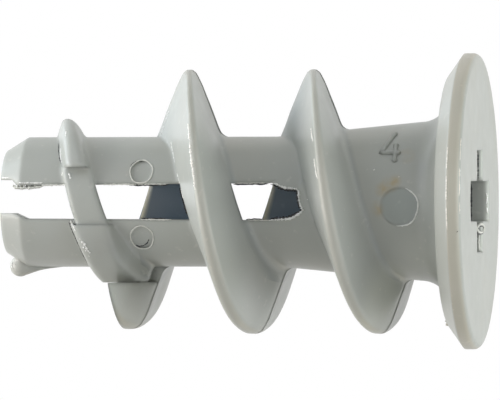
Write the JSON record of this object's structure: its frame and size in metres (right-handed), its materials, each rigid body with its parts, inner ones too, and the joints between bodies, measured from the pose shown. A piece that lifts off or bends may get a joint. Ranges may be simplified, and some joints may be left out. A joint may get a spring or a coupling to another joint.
{
  "type": "self-drilling plasterboard anchor",
  "caption": "Moulded nylon plasterboard anchor with coarse right-hand flights, a flat flanged head with a cross recess, and a forked, stepped cutting start.",
  "frame": {"origin": "centre of the head's flat outer face", "axes": "+Z along the axis from the head to the forked tip, -Y the side seen in the picture, X across the slot's thickness"},
  "size_m": [0.0136, 0.0136, 0.022],
  "materials": {
    "grey_nylon": "satin grey nylon as moulded"
  },
  "bodies": {
    "root": {"anchor_body": "grey_nylon"}
  },
  "joints": []
}
